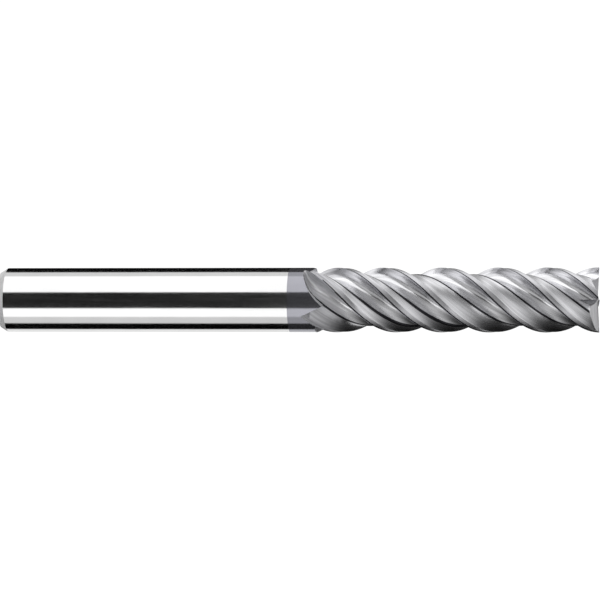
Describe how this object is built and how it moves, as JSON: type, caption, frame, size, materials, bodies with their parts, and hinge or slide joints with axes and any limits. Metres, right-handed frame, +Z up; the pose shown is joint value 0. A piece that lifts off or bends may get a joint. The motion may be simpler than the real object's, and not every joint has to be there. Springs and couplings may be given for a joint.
{
  "type": "end mill",
  "caption": "Long square-end milling cutter: polished plain round shank, coated fluted front with a right-hand helix and right-hand cut.",
  "frame": {"origin": "centre of the shank's flat back face", "axes": "+X along the tool's axis, from the back face to the cutting tip; +Z up as drawn; angles about +X run from +Y towards +Z, the way the tool turns when it cuts"},
  "size_m": [0.0889, 0.0096, 0.0096],
  "materials": {
    "bare_carbide": "polished",
    "coated_carbide": "satin"
  },
  "bodies": {
    "root": {"shank": "bare_carbide", "neck": "coated_carbide", "core": "coated_carbide", "tooth_1": "coated_carbide", "tooth_2": "coated_carbide", "tooth_3": "coated_carbide", "tooth_4": "coated_carbide"}
  },
  "joints": []
}
